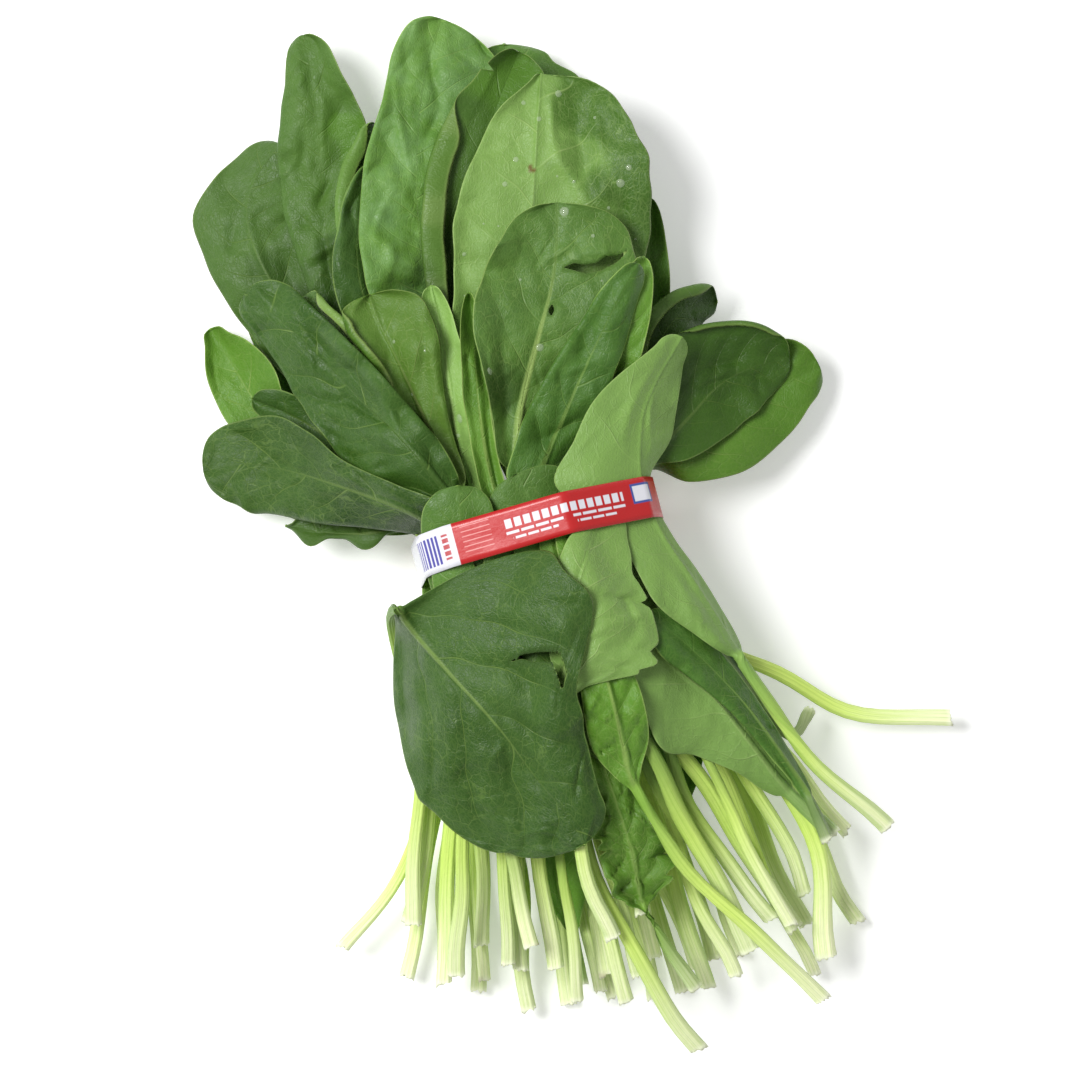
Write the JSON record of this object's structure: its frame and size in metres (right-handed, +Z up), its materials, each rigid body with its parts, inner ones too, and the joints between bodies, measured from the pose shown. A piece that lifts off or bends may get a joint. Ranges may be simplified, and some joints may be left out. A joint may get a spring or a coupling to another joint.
{
  "type": "bunch of spinach",
  "caption": "Bunch of flat-leaf spinach lying down: broad green leaves fanned above a printed paper tie, long pale stalks and folded-back leaves below it.",
  "frame": {"origin": "middle of the bunch's footprint, on the surface it lies on", "axes": "+Y along the bunch from the cut stalks to the leaf tips, +Z up from the surface, +X to the right seen from above with the leaves away from the viewer"},
  "size_m": [0.2006, 0.3268, 0.0614],
  "materials": {
    "leaf_dark": "satin waxy leaf, dark green, puckered between its veins",
    "leaf_mid": "satin waxy leaf, mid green, with pale veins and a pale ribbed stalk",
    "leaf_fresh": "thin young leaf, bright yellow green, light passing through it",
    "leaf_pale": "matt paler underside of a leaf with raised veins",
    "printed_paper": "semi-gloss coated paper, red with a white end panel"
  },
  "bodies": {
    "root": {"under_leaf_left": "leaf_dark", "under_leaf_far_left": "leaf_mid", "under_leaf_mid_left": "leaf_mid", "under_leaf_middle": "leaf_dark", "under_leaf_mid_right": "leaf_mid", "under_leaf_right": "leaf_dark", "left_leaf_low": "leaf_mid", "under_skirt_left": "leaf_mid", "under_skirt_right": "leaf_dark", "right_leaf_low": "leaf_fresh", "left_leaf_high": "leaf_mid", "left_leaf_bright": "leaf_fresh", "left_leaf_small": "leaf_dark", "crown_leaf_back_right": "leaf_mid", "crown_leaf_tall": "leaf_mid", "crown_leaf_curled": "leaf_dark", "crown_leaf_slim": "leaf_dark", "crown_leaf_back": "leaf_mid", "right_leaf_slim": "leaf_dark", "right_leaf_dark": "leaf_dark", "left_leaf_tucked": "leaf_mid", "crown_leaf_rolled": "leaf_mid", "crown_leaf_pale": "leaf_pale", "right_leaf_broad": "leaf_dark", "lower_leaf_behind": "leaf_fresh", "crown_leaf_inner": "leaf_pale", "crown_leaf_edge_on": "leaf_fresh", "crown_leaf_small": "leaf_fresh", "left_leaf_long": "leaf_dark", "left_leaf_front": "leaf_dark", "crown_leaf_front": "leaf_mid", "right_leaf_curled": "leaf_fresh", "crown_leaf_diagonal": "leaf_dark", "collar_leaf_right": "leaf_mid", "collar_leaf_left": "leaf_mid", "skirt_leaf_left": "leaf_mid", "skirt_leaf_mid_left": "leaf_mid", "skirt_leaf_middle": "leaf_mid", "skirt_leaf_thin": "leaf_mid", "skirt_leaf_slim_right": "leaf_mid", "skirt_leaf_thick": "leaf_mid", "skirt_leaf_right": "leaf_mid", "skirt_leaf_far_right": "leaf_pale", "lower_leaf_crumpled": "leaf_fresh", "lower_leaf_grey": "leaf_pale", "lower_leaf_slim": "leaf_dark", "lower_leaf_dark": "leaf_dark", "right_leaf_long": "leaf_pale", "lower_leaf_bright": "leaf_fresh", "lower_leaf_pale": "leaf_pale", "lower_leaf_big": "leaf_dark", "paper_tie": "printed_paper"}
  },
  "joints": []
}
